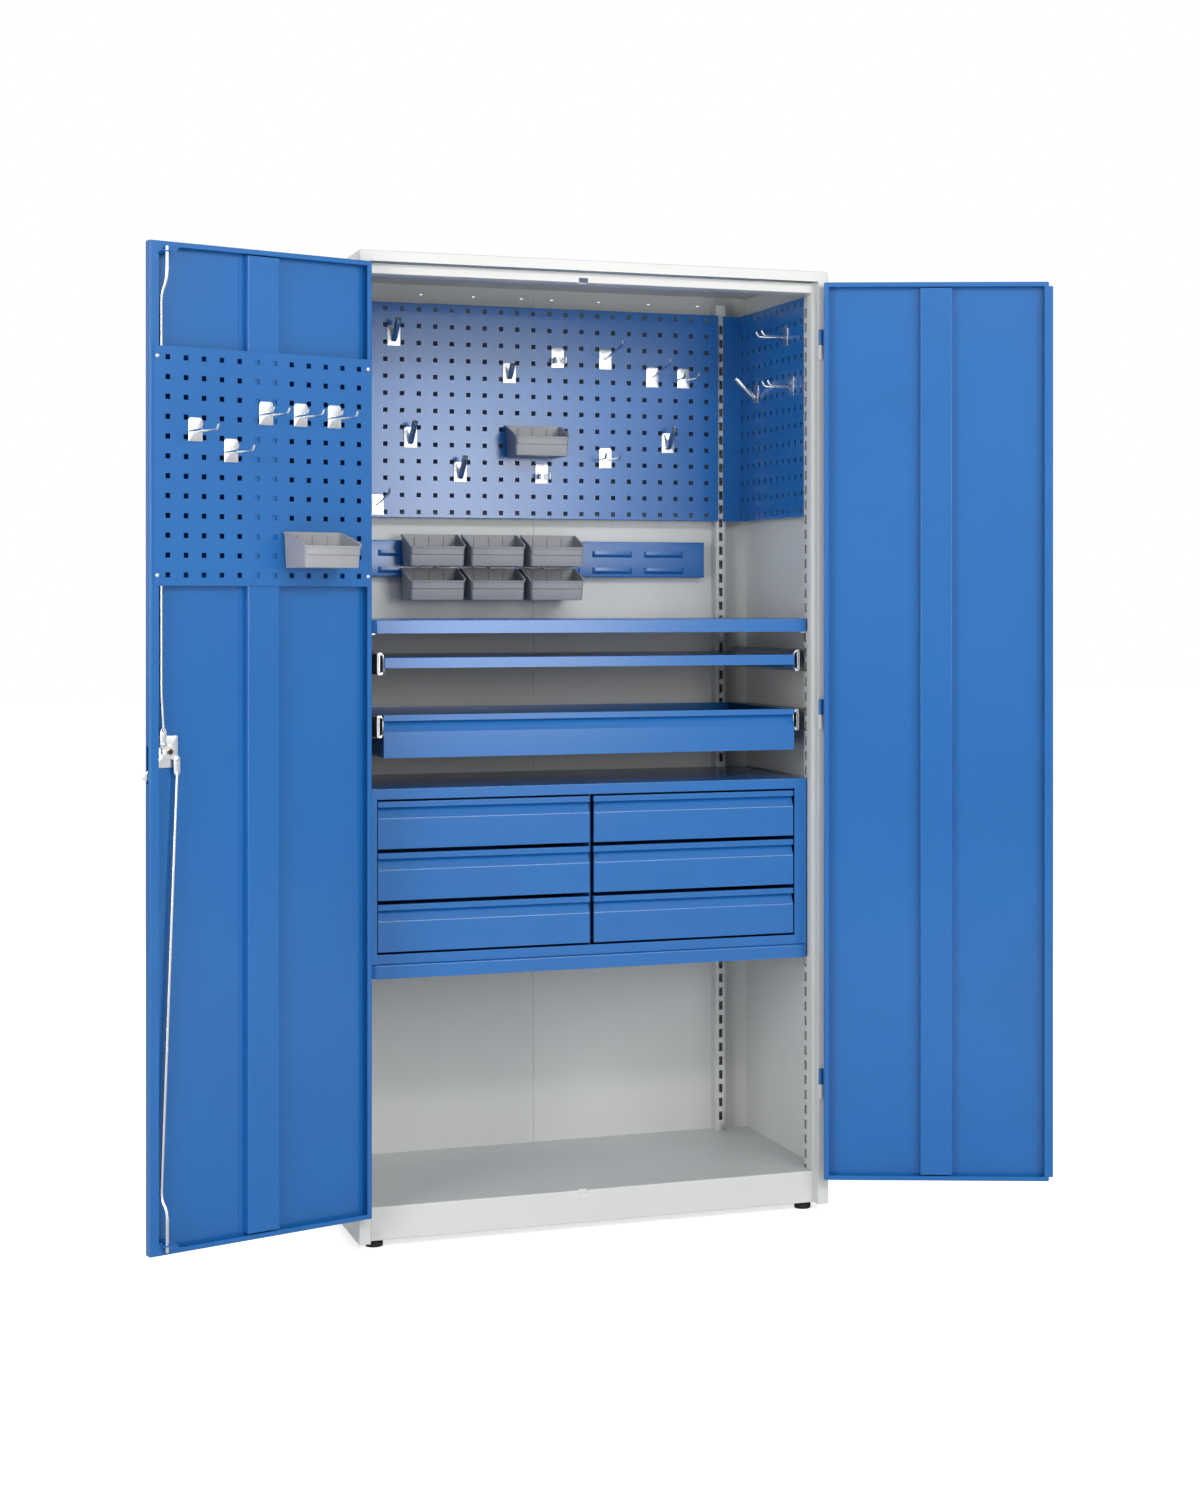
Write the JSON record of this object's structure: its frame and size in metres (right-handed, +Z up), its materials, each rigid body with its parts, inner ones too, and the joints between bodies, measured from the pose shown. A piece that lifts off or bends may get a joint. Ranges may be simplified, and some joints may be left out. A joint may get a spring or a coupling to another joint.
{
  "type": "tool cabinet",
  "caption": "Tall sheet-steel tool cabinet with two hinged doors, perforated tool panels, shelves, drawers, storage bins and a rod lock.",
  "frame": {"origin": "centre of the footprint of the whole part with its doors open, on the floor", "axes": "+Z up, +Y to the cabinet's back, +X to the right when it is seen from the front"},
  "size_m": [1.9216, 0.7469, 2.046],
  "materials": {
    "grey_body": "powder coat, satin",
    "blue_coat": "powder coat, satin",
    "zinc": "zinc plated",
    "black_steel": "black, satin",
    "grey_plastic": "moulded",
    "black_plastic": "moulded",
    "black_rubber": "matt",
    "brass": "turned"
  },
  "bodies": {
    "root": {"left_side": "grey_body", "right_side": "grey_body", "left_rear_upright": "grey_body", "right_rear_upright": "grey_body", "back_sheet_left": "grey_body", "back_sheet_right": "grey_body", "top_cover": "grey_body", "header_rail": "grey_body", "base_pan": "grey_body", "foot_pads": "black_rubber", "foot_mounts": "zinc", "back_peg_panel": "blue_coat", "left_peg_panel": "blue_coat", "right_peg_panel": "blue_coat", "louvre_rail": "blue_coat", "rail_bins": "grey_plastic", "panel_bin": "grey_plastic", "cabinet_hooks": "zinc", "upper_shelf": "blue_coat", "base_shelf": "blue_coat", "shelf_clips": "zinc", "slide_outer_rails": "zinc", "slide_brackets": "black_steel", "unit_case": "blue_coat", "drawer_runners": "blue_coat", "post_hinges": "grey_body"},
    "pullout_middle": {"pullout_slide_middle": "zinc"},
    "pullout": {"pullout_slide_inner": "zinc", "pullout_shelf": "blue_coat"},
    "wide_middle": {"wide_slide_middle": "zinc"},
    "wide": {"wide_slide_inner": "zinc", "wide_drawer": "blue_coat"},
    "left_door": {"left_door_pan": "blue_coat", "left_door_stiffener": "blue_coat", "door_peg_panel": "blue_coat", "panel_screws": "zinc", "door_hooks": "zinc", "door_bin": "grey_plastic", "left_door_knuckles": "blue_coat", "lock_case": "zinc", "lock_escutcheon": "black_plastic", "rod_guides": "zinc"},
    "lock": {"lock_handle": "black_plastic", "latch_arm": "zinc", "lock_cam": "zinc", "hub_nut": "brass"},
    "key_cylinder": {"lock_cylinder": "zinc"},
    "upper_rod": {"upper_rod": "zinc"},
    "lower_rod": {"lower_rod": "zinc"},
    "right_door": {"right_door_pan": "blue_coat", "right_door_stiffener": "blue_coat", "meeting_strip": "blue_coat", "right_door_knuckles": "blue_coat"},
    "left_drawer_1": {"left_drawer_1": "blue_coat"},
    "left_drawer_2": {"left_drawer_2": "blue_coat"},
    "left_drawer_3": {"left_drawer_3": "blue_coat"},
    "right_drawer_1": {"right_drawer_1": "blue_coat"},
    "right_drawer_2": {"right_drawer_2": "blue_coat"},
    "right_drawer_3": {"right_drawer_3": "blue_coat"}
  },
  "joints": [
    {"name": "left_door_swing", "type": "hinge", "parent": "root", "child": "left_door", "pos_m": [-0.495, -0.1585, 1.08], "axis": [0, 0, -1], "range_deg": [-161.3, 8.7]},
    {"name": "right_door_swing", "type": "hinge", "parent": "root", "child": "right_door", "pos_m": [0.495, -0.1585, 1.08], "axis": [0, 0, 1], "range_deg": [-158.2, 11.8]},
    {"name": "lock_turn", "type": "hinge", "parent": "left_door", "child": "lock", "pos_m": [-0.91838, -0.30656, 1.039], "axis": [0.3206, -0.9472, 0], "range_deg": [-45, 45]},
    {"name": "key_turn", "type": "hinge", "parent": "lock", "child": "key_cylinder", "pos_m": [-0.91838, -0.30656, 1.039], "axis": [0.3206, -0.9472, 0], "range_deg": [0, 90]},
    {"name": "upper_rod_slide", "type": "slide", "parent": "left_door", "child": "upper_rod", "axis": [0, 0, 1], "range_m": [-0.01, 0.01]},
    {"name": "lower_rod_slide", "type": "slide", "parent": "left_door", "child": "lower_rod", "axis": [0, 0, 1], "range_m": [-0.01, 0.01]},
    {"name": "pullout_slide", "type": "slide", "parent": "root", "child": "pullout", "axis": [0, -1, 0], "range_m": [0, 0.4]},
    {"name": "pullout_middle_slide", "type": "slide", "parent": "root", "child": "pullout_middle", "axis": [0, -1, 0], "range_m": [0, 0.2]},
    {"name": "wide_slide", "type": "slide", "parent": "root", "child": "wide", "axis": [0, -1, 0], "range_m": [0, 0.4]},
    {"name": "wide_middle_slide", "type": "slide", "parent": "root", "child": "wide_middle", "axis": [0, -1, 0], "range_m": [0, 0.2]},
    {"name": "left_drawer_1_slide", "type": "slide", "parent": "root", "child": "left_drawer_1", "axis": [0, -1, 0], "range_m": [0, 0.38]},
    {"name": "left_drawer_2_slide", "type": "slide", "parent": "root", "child": "left_drawer_2", "axis": [0, -1, 0], "range_m": [0, 0.38]},
    {"name": "left_drawer_3_slide", "type": "slide", "parent": "root", "child": "left_drawer_3", "axis": [0, -1, 0], "range_m": [0, 0.38]},
    {"name": "right_drawer_1_slide", "type": "slide", "parent": "root", "child": "right_drawer_1", "axis": [0, -1, 0], "range_m": [0, 0.38]},
    {"name": "right_drawer_2_slide", "type": "slide", "parent": "root", "child": "right_drawer_2", "axis": [0, -1, 0], "range_m": [0, 0.38]},
    {"name": "right_drawer_3_slide", "type": "slide", "parent": "root", "child": "right_drawer_3", "axis": [0, -1, 0], "range_m": [0, 0.38]}
  ],
  "couplings": [
    {"joint": "upper_rod_slide", "follows": "lock_turn", "m_per_rad": -0.012732},
    {"joint": "lower_rod_slide", "follows": "lock_turn", "m_per_rad": 0.012732},
    {"joint": "pullout_middle_slide", "follows": "pullout_slide", "ratio": 0.5},
    {"joint": "wide_middle_slide", "follows": "wide_slide", "ratio": 0.5}
  ]
}
